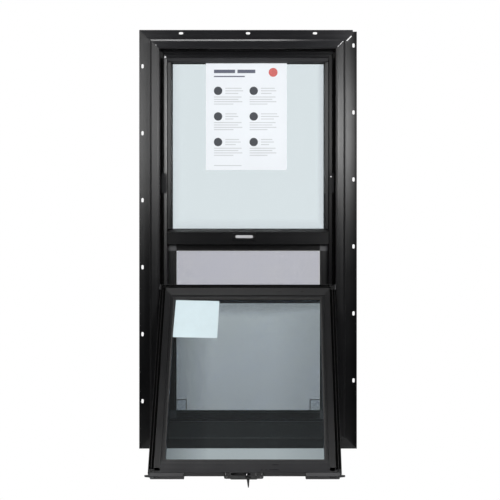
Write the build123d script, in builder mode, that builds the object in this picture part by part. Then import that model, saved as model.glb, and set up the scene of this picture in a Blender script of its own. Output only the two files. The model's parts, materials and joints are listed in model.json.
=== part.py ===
from build123d import *
import os
from math import atan2, cos, degrees, radians, sin, sqrt

# Single hung window with an aluminium nail-fin frame, seen in its tilted-in pose.
# Millimetres. X runs along the window, +Y points outdoors, +Z is up.
# The origin lies on the indoor-facing side of the bottom nail fin, at mid width.

# Frame size
body_w = 584.0
body_h = 1194.0
fin_w = 38.0
fin_t = 1.6
front_y = -52.0
back_y = 26.0
wall_t = 1.6
face_w = 28.0
face_bevel = 6.0
edge_r = 0.8
nose_w = 5.0
nose_d = 2.5
pocket_back_y = -19.0
mouth_w = 14.0
groove_w = 8.0
groove_y = -8.0
strip_w = 12.0
strip_y = -13.0
strip_r = 3.0
rebate_w = 14.0

# Nail slots
slot_l = 13.0
slot_w = 7.0
slot_edge = 10.0
slot_pitch = 203.2
slot_top_left = 110.0
slot_top_right = 47.0
slots_per_jamb = 6
slots_per_rail = 3

# Open mitre in the fin at the upper right, and the notch at its outer corner
slit_from = 6.0
slit_to = 21.0
slit_w = 3.2
notch_w = 12.0
notch_h = 5.0

# Sill and meeting rail heights, from the bottom of the frame body
sill_pocket_h = 40.0
sill_front_h = 52.0
sill_floor_h = 51.0
sill_dam_h = 54.0
weep_l = 28.0
weep_w = 5.0
weep_h = 12.0
weep_edge = 90.0
rail_bottom = 582.0
rail_h = 36.0
rail_front_y = -14.0
rail_step_y = 8.0
rail_step_h = 6.0
rail_lip_h = 12.0

# Glass
pane_t = 3.0
upper_space = 12.0
sash_space = 10.0
spacer_w = 9.0
edge_cover = 12.0
bead_rail_h = 10.0
tape_t = 2.0
bead_front = -11.0
bead_nose = -5.0
bead_tip = 1.5
bead_snap = 2.0
bead_chamfer = 1.5
bead_slope = 4.0

# Hanging sash
tilt_deg = 32.9
pivot_y = -34.0
pivot_h = 448.2
sash_side_gap = 3.0
sash_l = 591.4
sash_t = 30.0
pivot_edge = 10.4
ledge_w = 16.0
ledge_d = 8.0
rib_h = 3.0
rib_t = 1.2
stile_flat = 18.0
rail_flat = 27.0
leg_w = 7.0
leg_drop = 2.4
glass_bite = 4.0
gasket_w = 4.0
sash_r = 1.0

# Insect screen
screen_bar_w = 24.0
screen_bar_t = 8.0
screen_top = 586.0
screen_side_gap = 1.5
mesh_t = 0.6
screen_wall = 0.8
spline_edge = 18.0
spline_w = 3.4
spline_d = 4.6
key_clear = 0.3
key_reach = 15.0
tab_w = 31.0
tab_h = 33.0
tab_t = 1.2

os.makedirs("parts", exist_ok=True)


def wall(a0, b0, a1, b1, mode=Mode.ADD):
    """Adds one flat wall to the current profile, from corner to corner."""
    with Locations(((a0 + a1) / 2, (b0 + b1) / 2)):
        Rectangle(abs(a1 - a0), abs(b1 - b0), mode=mode)


def hollow(points, thickness=wall_t):
    """Adds a hollow tube to the current profile, from its outer corners."""
    with BuildLine() as outline:
        Polyline(*points, close=True)
    body = make_face(outline.edges())
    offset(body, amount=-thickness, kind=Kind.INTERSECTION, mode=Mode.SUBTRACT)


def soften(radius, corners):
    """Rounds the corners of the current profile that lie at the given points."""
    places = [Vector(*corner) for corner in corners]
    picked = [v for v in vertices() if min((v.center() - place).length for place in places) < fin_t / 10]
    fillet(picked, radius)


def save(part, name):
    """Labels one finished piece and writes it to its own file."""
    part.label = name
    export_step(part, "parts/" + name + ".step")


def member_plane(origin, inward, outward):
    """Profile plane of a bar: local x points inward, local y outward, z along the bar."""
    return Plane(origin=origin, x_dir=inward, z_dir=inward.cross(outward))


right = Vector(1, 0, 0)
outdoors = Vector(0, 1, 0)
up = Vector(0, 0, 1)
half_w = body_w / 2
body_z = fin_w / 2
top_z = body_z + body_h
rebate_u = face_w + groove_w + strip_w

# Frame: one extruded profile for head and jambs, another for the sill
sill_plane = member_plane(Vector(half_w, 0, body_z), up, outdoors)
head_plane = member_plane(Vector(-half_w, 0, top_z), -up, outdoors)
left_plane = member_plane(Vector(-half_w, 0, body_z), right, outdoors)
right_plane = member_plane(Vector(half_w, 0, top_z), -right, outdoors)


def cut_mitres(plane, length):
    """Cuts both ends of a frame bar at 45 degrees, through the corners of the body."""
    inward = plane.x_dir
    along = plane.z_dir
    split(bisect_by=Plane(plane.origin, z_dir=along - inward), keep=Keep.TOP)
    split(bisect_by=Plane(plane.origin + along * length, z_dir=-along - inward), keep=Keep.TOP)


def jamb_profile():
    """Face, balance pocket, weatherstrip groove, glazing rebate and nail fin."""
    nose_y = front_y + nose_d
    hollow([
        (0, front_y + face_bevel),
        (face_bevel, front_y),
        (face_w - nose_w, front_y),
        (face_w, nose_y),
        (face_w, groove_y),
        (face_w + groove_w, groove_y),
        (face_w + groove_w, strip_y),
        (rebate_u, strip_y),
        (rebate_u, back_y),
        (0, back_y),
    ])
    soften(edge_r, [
        (0, front_y + face_bevel),
        (face_bevel, front_y),
        (face_w - nose_w, front_y),
        (face_w, nose_y),
    ])
    soften(strip_r, [(face_w + groove_w, strip_y), (rebate_u, strip_y)])
    wall(0, pocket_back_y, face_w, pocket_back_y + wall_t)
    wall(0, 0, rebate_u, fin_t)
    wall(rebate_u, back_y - wall_t, rebate_u + rebate_w, back_y)
    wall(-fin_w, 0, 0, fin_t)
    wall(face_w - 2 * wall_t, pivot_y - mouth_w / 2, face_w, pivot_y + mouth_w / 2, Mode.SUBTRACT)


def sill_profile():
    """Sash pocket between an indoor upstand and a dam, then the screen floor and lip."""
    hollow([
        (0, front_y + face_bevel),
        (face_bevel, front_y),
        (sill_pocket_h, front_y),
        (sill_pocket_h, pocket_back_y),
        (sill_floor_h, pocket_back_y),
        (sill_floor_h, back_y),
        (0, back_y),
    ])
    soften(edge_r, [(0, front_y + face_bevel), (face_bevel, front_y)])
    wall(0, pocket_back_y, sill_dam_h, pocket_back_y + wall_t)
    wall(0, 0, sill_floor_h, fin_t)
    wall(sill_pocket_h, front_y, sill_front_h, front_y + wall_t)
    wall(sill_front_h - wall_t, front_y, sill_front_h, front_y + face_bevel)
    wall(sill_floor_h, back_y - wall_t, rebate_u + rebate_w, back_y)
    wall(-fin_w, 0, 0, fin_t)


def nail_slots(plane, places):
    """Cuts slots through the fin of a bar, at the given distances along it."""
    fin_plane = Plane(plane.origin, x_dir=plane.z_dir, z_dir=outdoors)
    to_fin = fin_plane.to_local_coords(plane.x_dir)
    side = -1 if to_fin.Y > 0 else 1
    with BuildSketch(fin_plane) as slots:
        with Locations(*[(place, side * (fin_w - slot_edge)) for place in places]):
            SlotOverall(slot_l, slot_w)
    extrude(slots.sketch, amount=fin_t, mode=Mode.SUBTRACT)


def fin_cut(place, along, length, height):
    """Cuts a rectangle through the fin, centred on a place and turned to a direction."""
    with BuildSketch(Plane(place, x_dir=along, z_dir=outdoors)) as cut:
        Rectangle(length, height)
    extrude(cut.sketch, amount=fin_t, mode=Mode.SUBTRACT)


corner = Vector(half_w, 0, top_z)
notch_place = corner + right * (fin_w - notch_w / 2) + up * (fin_w - notch_h / 2)
slit_place = corner + (right + up) * (slit_from + slit_to) / 2 + (right - up) * slit_w / 2 / sqrt(2)
rail_slots = [half_w + slot_pitch * (i - (slots_per_rail - 1) / 2) for i in range(slots_per_rail)]
fin_top = body_h + fin_w
left_slots = [fin_top - slot_top_left - slot_pitch * i for i in range(slots_per_jamb)]
right_slots = [slot_top_right - fin_w + slot_pitch * i for i in range(slots_per_jamb)]

with BuildPart() as frame_head:
    with BuildSketch(head_plane.offset(-fin_w)):
        jamb_profile()
    extrude(amount=body_w + 2 * fin_w)
    cut_mitres(head_plane, body_w)
    nail_slots(head_plane, rail_slots)
    fin_cut(notch_place, right, notch_w, notch_h)
save(frame_head.part, "frame_head")

with BuildPart() as frame_sill:
    with BuildSketch(sill_plane.offset(-fin_w)):
        sill_profile()
    extrude(amount=body_w + 2 * fin_w)
    cut_mitres(sill_plane, body_w)
    nail_slots(sill_plane, rail_slots)
    weep_x = half_w - weep_edge
    with BuildSketch(Plane(Vector(0, back_y, body_z + weep_h), x_dir=right, z_dir=outdoors)):
        with Locations((-weep_x, 0), (weep_x, 0)):
            SlotOverall(weep_l, weep_w)
    extrude(amount=-wall_t, mode=Mode.SUBTRACT)
save(frame_sill.part, "frame_sill")

with BuildPart() as frame_jamb_left:
    with BuildSketch(left_plane.offset(-fin_w)):
        jamb_profile()
    extrude(amount=body_h + 2 * fin_w)
    cut_mitres(left_plane, body_h)
    nail_slots(left_plane, left_slots)
save(frame_jamb_left.part, "frame_jamb_left")

with BuildPart() as frame_jamb_right:
    with BuildSketch(right_plane.offset(-fin_w)):
        jamb_profile()
    extrude(amount=body_h + 2 * fin_w)
    cut_mitres(right_plane, body_h)
    nail_slots(right_plane, right_slots)
    fin_cut(notch_place, right, notch_w, notch_h)
    fin_cut(slit_place, right + up, (slit_to - slit_from) * sqrt(2), slit_w)
save(frame_jamb_right.part, "frame_jamb_right")

# Meeting rail between the jambs, with a step below for the screen and a lip above for the glass
rebate_x = half_w - rebate_u
rail_z = body_z + rail_bottom
rail_top_z = rail_z + rail_h
rail_plane = member_plane(Vector(rebate_x, 0, rail_z), up, outdoors)

with BuildPart() as meeting_rail:
    with BuildSketch(rail_plane):
        hollow([
            (0, rail_front_y),
            (rail_h, rail_front_y),
            (rail_h, back_y),
            (rail_step_h, back_y),
            (rail_step_h, rail_step_y),
            (0, rail_step_y),
        ])
        soften(edge_r, [(0, rail_front_y), (rail_h, rail_front_y)])
        wall(rail_step_h - rail_lip_h, back_y - wall_t, rail_h + rail_lip_h, back_y)
    extrude(amount=2 * rebate_x)
    with BuildSketch(Plane.XY.offset(rail_z - rail_lip_h)):
        for side in (-1, 1):
            with Locations((side * (rebate_x - rebate_w / 2), back_y - wall_t / 2)):
                Rectangle(rebate_w, wall_t)
    extrude(amount=rail_h + 2 * rail_lip_h, mode=Mode.SUBTRACT)
save(meeting_rail.part, "meeting_rail")

# Keeper on the indoor face of the meeting rail, with a bright strike bar in it
keeper_l = 72.0
keeper_h = 21.5
keeper_t = 3.2
keeper_r = 3.0
keeper_drop = 2.5
keeper_draft = 20.0
keeper_screw_x = 31.0
keeper_screw_r = 2.4
keeper_x = -11.0
strike_l = 52.5
strike_h = 8.5
strike_t = 1.2
strike_r = 3.6
keeper_z = rail_top_z - keeper_drop - keeper_h / 2
keeper_plane = Plane(origin=(keeper_x, rail_front_y, keeper_z), x_dir=(1, 0, 0), z_dir=(0, -1, 0))

with BuildPart() as lock_keeper:
    with BuildSketch(keeper_plane):
        RectangleRounded(keeper_l, keeper_h, keeper_r)
    extrude(amount=keeper_t, taper=keeper_draft)
    with BuildSketch(keeper_plane.offset(keeper_t)):
        RectangleRounded(strike_l, strike_h, strike_r)
        with Locations((-keeper_screw_x, 0), (keeper_screw_x, 0)):
            Circle(keeper_screw_r)
    extrude(amount=-strike_t, mode=Mode.SUBTRACT)
save(lock_keeper.part, "lock_keeper")

with BuildPart() as keeper_strike:
    with BuildSketch(keeper_plane.offset(keeper_t - strike_t)):
        RectangleRounded(strike_l, strike_h, strike_r)
    extrude(amount=strike_t)
save(keeper_strike.part, "keeper_strike")

# Fixed insulating glass above the meeting rail
leg_y = back_y - wall_t
unit_back_y = leg_y - tape_t
unit_t = 2 * pane_t + upper_space
unit_front_y = unit_back_y - unit_t
glass_x = rebate_x - (rebate_w - edge_cover)
glass_low = rail_top_z + rebate_w - edge_cover
glass_high = top_z - rebate_u - (rebate_w - edge_cover)
glass_h = glass_high - glass_low
glass_mid = (glass_low + glass_high) / 2
glass_plane = Plane(origin=(0, unit_front_y, glass_mid), x_dir=(-1, 0, 0), z_dir=(0, 1, 0))

with BuildPart() as upper_pane_inner:
    with BuildSketch(glass_plane):
        Rectangle(2 * glass_x, glass_h)
    extrude(amount=pane_t)
save(upper_pane_inner.part, "upper_pane_inner")

with BuildPart() as upper_pane_outer:
    with BuildSketch(glass_plane.offset(pane_t + upper_space)):
        Rectangle(2 * glass_x, glass_h)
    extrude(amount=pane_t)
save(upper_pane_outer.part, "upper_pane_outer")

with BuildPart() as upper_glass_spacer:
    with BuildSketch(glass_plane.offset(pane_t)):
        Rectangle(2 * glass_x, glass_h)
        Rectangle(2 * (glass_x - spacer_w), glass_h - 2 * spacer_w, mode=Mode.SUBTRACT)
    extrude(amount=upper_space)
save(upper_glass_spacer.part, "upper_glass_spacer")

with BuildPart() as upper_glazing_tape:
    with BuildSketch(glass_plane.offset(unit_t)):
        Rectangle(2 * glass_x, glass_h)
        Rectangle(2 * (glass_x - spacer_w), glass_h - 2 * spacer_w, mode=Mode.SUBTRACT)
    extrude(amount=tape_t)
save(upper_glazing_tape.part, "upper_glazing_tape")

# Glazing beads: head and rail beads run through, side beads stand between them
def bead_profile(width):
    """Snap-in bead with a sloping indoor face, against the inner pane."""
    hollow([
        (0, bead_front + bead_snap),
        (bead_chamfer, bead_front),
        (width - bead_slope, bead_nose),
        (width, bead_tip),
        (width, unit_front_y),
        (0, unit_front_y),
    ])


head_bead_z = top_z - rebate_u
side_bead_low = rail_top_z + bead_rail_h
side_bead_high = head_bead_z - rebate_w

with BuildPart() as upper_bead_head:
    with BuildSketch(member_plane(Vector(-rebate_x, 0, head_bead_z), -up, outdoors)):
        bead_profile(rebate_w)
    extrude(amount=2 * rebate_x)
save(upper_bead_head.part, "upper_bead_head")

with BuildPart() as upper_bead_rail:
    with BuildSketch(member_plane(Vector(rebate_x, 0, rail_top_z), up, outdoors)):
        bead_profile(bead_rail_h)
    extrude(amount=2 * rebate_x)
save(upper_bead_rail.part, "upper_bead_rail")

with BuildPart() as upper_bead_left:
    with BuildSketch(member_plane(Vector(-rebate_x, 0, side_bead_low), right, outdoors)):
        bead_profile(rebate_w)
    extrude(amount=side_bead_high - side_bead_low)
save(upper_bead_left.part, "upper_bead_left")

with BuildPart() as upper_bead_right:
    with BuildSketch(member_plane(Vector(rebate_x, 0, side_bead_high), -right, outdoors)):
        bead_profile(rebate_w)
    extrude(amount=side_bead_high - side_bead_low)
save(upper_bead_right.part, "upper_bead_right")

# Paper sheet on the indoor side of the fixed glass
sheet_w = 246.0
sheet_h = 324.0
sheet_t = 0.5
sheet_x = -5.0
sheet_gap = 0.5
sheet_mid = side_bead_high - sheet_gap - sheet_h / 2

with BuildPart() as glass_sheet:
    with BuildSketch(Plane(origin=(sheet_x, unit_front_y, sheet_mid), x_dir=(1, 0, 0), z_dir=(0, -1, 0))):
        Rectangle(sheet_w, sheet_h)
    extrude(amount=sheet_t)
save(glass_sheet.part, "glass_sheet")

# Hanging sash: its own plane has x across, y from the pivots to the lock rail and z indoors
tilt = radians(tilt_deg)
pivot = Vector(0, pivot_y, body_z + pivot_h)
sash = Plane(origin=pivot, x_dir=(1, 0, 0), z_dir=(0, cos(tilt), -sin(tilt)))
sash_out = -sash.z_dir
sash_down = sash.y_dir
sash_w = body_w - 2 * (face_w + sash_side_gap)
sash_half = sash_w / 2
sash_low = -pivot_edge
sash_high = sash_l - pivot_edge
sash_face = sash_t / 2
ledge_y = sash_face - ledge_d
stile_w = ledge_w + stile_flat
low_rail_w = ledge_w + rail_flat
lock_rail_w = rail_flat
leg_out = sash_face - leg_drop
unit_half = pane_t + sash_space / 2


def on_sash(x, along, inside):
    """World point of a place on the sash: across, from the pivots down, and indoors."""
    return sash.from_local_coords(Vector(x, along, inside))


def sash_profile(flat_end):
    """Flat face, ribbed ledge along the outer edge and a leg that holds the glass."""
    hollow([
        (0, -sash_face),
        (0, ledge_y - rib_h),
        (ledge_w, ledge_y - rib_h),
        (ledge_w, sash_face),
        (flat_end, sash_face),
        (flat_end, -sash_face),
    ])
    soften(sash_r, [(ledge_w, sash_face), (flat_end, sash_face)])
    wall(0, ledge_y - rib_h, rib_t, ledge_y)
    wall(ledge_w / 2 - rib_t / 2, ledge_y - rib_h, ledge_w / 2 + rib_t / 2, ledge_y)
    wall(flat_end, leg_out - wall_t, flat_end + leg_w, leg_out)


stile_left_plane = member_plane(on_sash(-sash_half, sash_low, 0), right, sash_out)
stile_right_plane = member_plane(on_sash(sash_half, sash_high, 0), -right, sash_out)
low_rail_plane = member_plane(on_sash(sash_half, sash_low, 0), sash_down, sash_out)
lock_rail_plane = member_plane(on_sash(-sash_half + stile_w, sash_high, 0), -sash_down, sash_out)

# The low corners are cut along the line from the ledge corner to the corner of the glass
corner_x = stile_flat + leg_w
corner_y = rail_flat + leg_w
mitre_left = Plane(
    on_sash(-sash_half + ledge_w, sash_low + ledge_w, 0),
    x_dir=sash_out,
    z_dir=(right * corner_y - sash_down * corner_x),
)
mitre_right = Plane(
    on_sash(sash_half - ledge_w, sash_low + ledge_w, 0),
    x_dir=sash_out,
    z_dir=(-right * corner_y - sash_down * corner_x),
)
latch_hole_w = 18.0
latch_hole_h = 9.4
latch_hole_end = 8.5


def stile_hole(side):
    """Slot through the outdoor wall of a stile, just below its lock-rail end."""
    place = on_sash(side * (sash_half - ledge_w - stile_flat / 2), sash_high - latch_hole_end, -sash_face)
    with BuildSketch(Plane(place, x_dir=(1, 0, 0), z_dir=sash_out)) as hole:
        SlotOverall(latch_hole_w, latch_hole_h)
    extrude(hole.sketch, amount=-wall_t, mode=Mode.SUBTRACT)


def cope_leg(side):
    """Cuts the glass leg of a stile back to where the lock rail comes in."""
    along = sash_high - (lock_rail_w + leg_w) / 2
    place = on_sash(side * (sash_half - stile_w - leg_w / 2), along, -leg_out)
    with BuildSketch(Plane(place, x_dir=(1, 0, 0), z_dir=sash_out)) as cope:
        Rectangle(leg_w, lock_rail_w + leg_w)
    extrude(cope.sketch, amount=-wall_t, mode=Mode.SUBTRACT)


with BuildPart() as sash_stile_left:
    with BuildSketch(stile_left_plane):
        sash_profile(stile_w)
    extrude(amount=sash_l)
    split(bisect_by=mitre_left, keep=Keep.BOTTOM)
    cope_leg(-1)
    stile_hole(-1)
save(sash_stile_left.part, "sash_stile_left")

with BuildPart() as sash_stile_right:
    with BuildSketch(stile_right_plane):
        sash_profile(stile_w)
    extrude(amount=sash_l)
    split(bisect_by=mitre_right, keep=Keep.BOTTOM)
    cope_leg(1)
    stile_hole(1)
save(sash_stile_right.part, "sash_stile_right")

with BuildPart() as sash_bottom_rail:
    with BuildSketch(low_rail_plane):
        sash_profile(low_rail_w)
    extrude(amount=sash_w)
    split(bisect_by=mitre_left, keep=Keep.TOP)
    split(bisect_by=mitre_right, keep=Keep.TOP)
save(sash_bottom_rail.part, "sash_bottom_rail")

with BuildPart() as sash_top_rail:
    with BuildSketch(lock_rail_plane):
        hollow([
            (0, -sash_face),
            (0, sash_face),
            (lock_rail_w, sash_face),
            (lock_rail_w, -sash_face),
        ])
        soften(sash_r, [(0, sash_face), (lock_rail_w, sash_face)])
        wall(lock_rail_w, leg_out - wall_t, lock_rail_w + leg_w, leg_out)
    extrude(amount=sash_w - 2 * stile_w)
save(sash_top_rail.part, "sash_top_rail")

# Sash glass, as an insulating unit behind the legs
unit_edge = leg_w - glass_bite
pane_x = sash_half - stile_w - unit_edge
pane_low = sash_low + low_rail_w + unit_edge
pane_high = sash_high - lock_rail_w - unit_edge
pane_mid = (pane_low + pane_high) / 2
pane_l = pane_high - pane_low


def sash_sheet(inside):
    """Plane across the sash, facing outdoors, centred on its glass."""
    return Plane(on_sash(0, pane_mid, inside), x_dir=(1, 0, 0), z_dir=sash_out)


with BuildPart() as sash_pane_inner:
    with BuildSketch(sash_sheet(unit_half)):
        Rectangle(2 * pane_x, pane_l)
    extrude(amount=pane_t)
save(sash_pane_inner.part, "sash_pane_inner")

with BuildPart() as sash_pane_outer:
    with BuildSketch(sash_sheet(pane_t - unit_half)):
        Rectangle(2 * pane_x, pane_l)
    extrude(amount=pane_t)
save(sash_pane_outer.part, "sash_pane_outer")

with BuildPart() as sash_glass_spacer:
    with BuildSketch(sash_sheet(sash_space / 2)):
        Rectangle(2 * pane_x, pane_l)
        Rectangle(2 * (pane_x - spacer_w), pane_l - 2 * spacer_w, mode=Mode.SUBTRACT)
    extrude(amount=sash_space)
save(sash_glass_spacer.part, "sash_glass_spacer")

# Black gasket between the legs and the glass, standing out past the legs on the glass side
gasket_t = leg_out - wall_t - unit_half
gasket_side = unit_edge - leg_w - gasket_w

with BuildPart() as sash_gasket:
    with BuildSketch(sash_sheet(-unit_half)):
        Rectangle(2 * pane_x, pane_l)
        Rectangle(2 * (pane_x + gasket_side), pane_l + 2 * gasket_side, mode=Mode.SUBTRACT)
    extrude(amount=gasket_t)
save(sash_gasket.part, "sash_gasket")

# Snap-in beads on the indoor side, four strips with a hairline between their ends
bead_joint = 0.3
bead_recess = 1.5
bead_t = sash_face - unit_half - bead_recess
bead_x = sash_half - stile_w
bead_low = sash_low + low_rail_w
bead_high = sash_high - lock_rail_w
bead_w = leg_w + gasket_w
bead_mid = (bead_low + bead_high) / 2

with BuildPart() as sash_glazing_beads:
    with BuildSketch(sash_sheet(unit_half)):
        with Locations((0, bead_mid - bead_low - bead_w / 2), (0, bead_w / 2 + bead_mid - bead_high)):
            Rectangle(2 * bead_x, bead_w)
        with Locations((bead_x - bead_w / 2, 0), (bead_w / 2 - bead_x, 0)):
            Rectangle(bead_w, bead_high - bead_low - 2 * bead_w - 2 * bead_joint)
    extrude(amount=-bead_t)
save(sash_glazing_beads.part, "sash_glazing_beads")

# Sticker on the outdoor side of the sash glass
label_w = 129.0
label_h = 124.0
label_t = 0.4
label_turn = -1.5
label_inset = 2.1
label_r = 2.0
label_x = label_inset + label_w / 2 + bead_w - bead_x
label_along = bead_low + bead_w + label_inset + label_h / 2
label_plane = Plane(on_sash(label_x, label_along, -unit_half), x_dir=(1, 0, 0), z_dir=sash_out)

with BuildPart() as sash_label:
    with BuildSketch(label_plane):
        RectangleRounded(label_w, label_h, label_r, rotation=label_turn)
    extrude(amount=label_t)
save(sash_label.part, "sash_label")

# Lock on the end face of the lock rail: this plane has x across, y outdoors and z up from the face
lock_top = Plane(on_sash(0, sash_high, 0), x_dir=(1, 0, 0), z_dir=sash_down)
lock_x = -3.0
lock_l = 108.0
lock_body_l = 75.0
lock_body_w = 29.0
lock_body_h = 9.8
lock_body_r = 5.0
lock_draft = 8.0
lock_ear_w = 27.0
lock_ear_h = 8.2
lock_ear_r = 7.0
lock_screw_x = 46.0
lock_screw_r = 3.4
lock_screw_d = 1.6
cam_slot_l = 52.0
cam_slot_h = 6.0
cam_slot_d = 11.0
cam_slot_base = 1.6
cam_l = 44.0
cam_h = 4.0
cam_x = -11.0
cam_inset = 1.0
hub_r = 8.0
hub_h = 2.5
lever_x = 9.0
lever_reach = 46.0
lever_root_w = 8.0
lever_tip_w = 2.6
lever_t = 3.0
lever_rise = 8.0

with BuildPart() as sash_lock_housing:
    with BuildSketch(lock_top):
        with Locations((lock_x, 0)):
            RectangleRounded(lock_l, lock_ear_w, lock_ear_r)
    extrude(amount=lock_ear_h, taper=lock_draft)
    with BuildSketch(lock_top):
        with Locations((lock_x, 0)):
            RectangleRounded(lock_body_l, lock_body_w, lock_body_r)
    extrude(amount=lock_body_h, taper=lock_draft)
    with BuildSketch(lock_top.offset(lock_ear_h)):
        with Locations((lock_x - lock_screw_x, 0), (lock_x + lock_screw_x, 0)):
            Circle(lock_screw_r)
    extrude(amount=-lock_screw_d, mode=Mode.SUBTRACT)
    slot_side = lock_top.from_local_coords(Vector(cam_x, lock_body_w / 2, 0))
    slot_place = Plane(slot_side, x_dir=(1, 0, 0), z_dir=sash_out)
    with BuildSketch(slot_place):
        with Locations((0, -cam_slot_base - cam_slot_h / 2)):
            Rectangle(cam_slot_l, cam_slot_h)
    extrude(amount=-cam_slot_d, mode=Mode.SUBTRACT)
save(sash_lock_housing.part, "sash_lock_housing")

with BuildPart() as sash_lock_cam:
    cam_pivot = lock_top.from_local_coords(Vector(cam_x, lock_body_w / 2 - cam_slot_d, cam_slot_base))
    cam_place = Plane(cam_pivot, x_dir=(1, 0, 0), z_dir=sash_down)
    with BuildSketch(cam_place):
        with BuildLine():
            Line((-cam_l / 2, 0), (cam_l / 2, 0))
            ThreePointArc((cam_l / 2, 0), (0, cam_slot_d - cam_inset), (-cam_l / 2, 0))
        make_face()
    extrude(amount=cam_h)
save(sash_lock_cam.part, "sash_lock_cam")

with BuildPart() as sash_lock_lever:
    hub_centre = lock_top.from_local_coords(Vector(lever_x, 0, lock_body_h))
    hub_place = Plane(hub_centre, x_dir=(1, 0, 0), z_dir=sash_down)
    with BuildSketch(hub_place):
        Circle(hub_r)
    extrude(amount=hub_h)
    with BuildSketch(hub_place.rotated((-degrees(atan2(lever_rise, lever_reach)), 0, 0))):
        with BuildLine():
            Polyline(
                (-lever_root_w / 2, 0),
                (-lever_tip_w / 2, -lever_reach),
                (lever_tip_w / 2, -lever_reach),
                (lever_root_w / 2, 0),
                close=True,
            )
        make_face()
    extrude(amount=lever_t)
save(sash_lock_lever.part, "sash_lock_lever")

# Tilt latches on the end face of the lock rail, with bolts that stand out at the sides
latch_l = 93.5
latch_w = 26.0
latch_h = 9.4
latch_r = 3.0
latch_inset = 4.5
latch_draft = 6.0
bolt_out = 9.0
bolt_w = 12.0
bolt_t = 4.0
bolt_in = 30.0
bolt_base = 3.0
bolt_tip_t = 1.0
button_l = 9.0
button_w = 6.0
button_up = 1.4
button_in = 24.0
button_slot_l = 15.0


def tilt_latch(side):
    """Latch body with a blind channel for its bolt."""
    with BuildSketch(lock_top) as body:
        with Locations((side * (sash_half - latch_inset - latch_l / 2), 0)):
            RectangleRounded(latch_l, latch_w, latch_r)
    extrude(body.sketch, amount=latch_h, taper=latch_draft)
    with BuildSketch(lock_top.offset(latch_h)) as slot:
        with Locations((side * (sash_half - button_in), 0)):
            Rectangle(button_slot_l, button_w)
    extrude(slot.sketch, amount=bolt_base + bolt_t - latch_h, mode=Mode.SUBTRACT)
    with BuildSketch(lock_top.offset(bolt_base)) as channel:
        with Locations((side * (sash_half - bolt_in / 2), 0)):
            Rectangle(bolt_in, bolt_w)
    extrude(channel.sketch, amount=bolt_t, mode=Mode.SUBTRACT)


with BuildPart() as tilt_latch_left:
    tilt_latch(-1)
save(tilt_latch_left.part, "tilt_latch_left")

with BuildPart() as tilt_latch_right:
    tilt_latch(1)
save(tilt_latch_right.part, "tilt_latch_right")

with BuildPart() as latch_bolts:
    with BuildSketch(Plane(lock_top.origin, x_dir=(1, 0, 0), z_dir=sash.z_dir)):
        for side in (-1, 1):
            with BuildLine():
                Polyline(
                    (side * (sash_half - bolt_in), bolt_base),
                    (side * (sash_half - latch_inset), bolt_base),
                    (side * (sash_half + bolt_out), bolt_base + (bolt_t - bolt_tip_t) / 2),
                    (side * (sash_half + bolt_out), bolt_base + (bolt_t + bolt_tip_t) / 2),
                    (side * (sash_half - latch_inset), bolt_base + bolt_t),
                    (side * (sash_half - bolt_in), bolt_base + bolt_t),
                    close=True,
                )
            make_face()
    extrude(amount=bolt_w / 2, both=True)
    with BuildSketch(lock_top.offset(bolt_base + bolt_t)):
        with Locations((button_in - sash_half, 0), (sash_half - button_in, 0)):
            Rectangle(button_l, button_w)
    extrude(amount=latch_h + button_up - bolt_base - bolt_t)
save(latch_bolts.part, "latch_bolts")

# Pivot bars on the low ends of the stiles, with round ends in the balance shoes
plate_t = 2.2
plate_l = 18.0
plate_w = 24.0
pin_r = 4.5
pin_reach = 24.0
shoe_h = 44.0
shoe_clear = 0.3
shoe_corner = face_bevel

with BuildPart() as pivot_bars:
    for side in (-1, 1):
        face_plane = Plane(on_sash(side * sash_half, 0, 0), x_dir=sash_down, z_dir=(side, 0, 0))
        with BuildSketch(face_plane):
            Rectangle(plate_l, plate_w)
        extrude(amount=plate_t)
        with BuildSketch(face_plane):
            Circle(pin_r)
        extrude(amount=pin_reach)
save(pivot_bars.part, "pivot_bars")

# Balance shoes in the jamb pockets, with the spiral balances above them
pocket_low_y = front_y + wall_t
shoe_depth = pocket_back_y - pocket_low_y - 2 * shoe_clear
shoe_y = (pocket_back_y + pocket_low_y) / 2
shoe_w = face_w - 2 * wall_t - 2 * shoe_clear
shoe_x = half_w - wall_t - shoe_clear - shoe_w / 2

with BuildPart() as balance_shoes:
    with BuildSketch(Plane.XY.offset(pivot.Z - shoe_h / 2)):
        with Locations((-shoe_x, shoe_y), (shoe_x, shoe_y)):
            shoes = Rectangle(shoe_w, shoe_depth)
        chamfer(shoes.vertices().group_by(Axis.Y)[0], length=shoe_corner)
    extrude(amount=shoe_h)
    for side in (-1, 1):
        bore_place = Vector(side * (half_w - face_w), pivot_y, pivot.Z)
        bore_plane = Plane(bore_place, x_dir=(0, 1, 0), z_dir=(side, 0, 0))
        with BuildSketch(bore_plane):
            Circle(pin_r + shoe_clear)
        extrude(amount=pin_reach, mode=Mode.SUBTRACT)
save(balance_shoes.part, "balance_shoes")

tube_r = 4.8
tube_wall = 0.8
tube_above_shoe = 190.0
tube_below_head = 60.0
tube_low = pivot.Z + shoe_h / 2 + tube_above_shoe
tube_high = top_z - tube_below_head
rod_r = 2.4
rod_in_tube = 30.0
clip_h = 16.0
clip_w = 12.0

with BuildPart() as balance_tubes:
    with BuildSketch(Plane.XY.offset(tube_low)):
        with Locations((-shoe_x, shoe_y), (shoe_x, shoe_y)):
            Circle(tube_r)
            Circle(tube_r - tube_wall, mode=Mode.SUBTRACT)
    extrude(amount=tube_high - tube_low)
    for side in (-1, 1):
        clip_out = half_w - wall_t
        with BuildSketch(Plane.XY.offset(tube_high - clip_h)):
            with Locations((side * (shoe_x + clip_out) / 2, shoe_y)):
                Rectangle(clip_out - shoe_x, clip_w)
            with Locations((side * shoe_x, shoe_y)):
                Circle(tube_r)
        extrude(amount=clip_h)
save(balance_tubes.part, "balance_tubes")

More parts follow.
